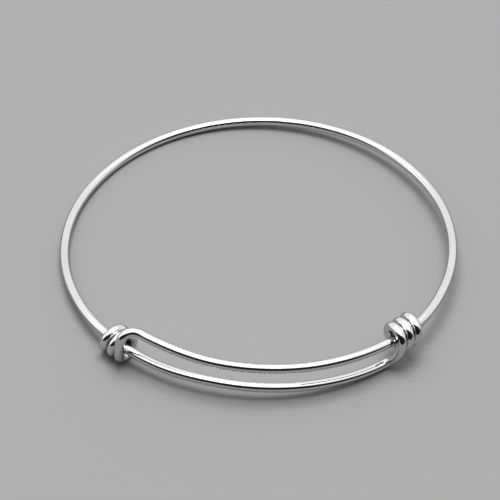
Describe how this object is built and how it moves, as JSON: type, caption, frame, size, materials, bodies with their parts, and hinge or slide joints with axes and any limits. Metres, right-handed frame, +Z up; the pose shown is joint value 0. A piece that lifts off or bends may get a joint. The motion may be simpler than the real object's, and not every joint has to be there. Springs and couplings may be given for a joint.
{
  "type": "wire bangle",
  "caption": "Adjustable bangle bent from one round polished wire, its overlapping ends coiled round each other as sliding stops.",
  "frame": {"origin": "on the surface that the bangle lies on, under the middle of its bounding box", "axes": "+Z up, square to the ring's plane within three degrees, -Y towards the side with the two coils, +X to the right as seen from there"},
  "size_m": [0.063, 0.0622, 0.008],
  "materials": {
    "polished_steel": "mirror-polished bare stainless steel with fine lines along the wire"
  },
  "bodies": {
    "root": {"bangle_wire": "polished_steel"}
  },
  "joints": []
}
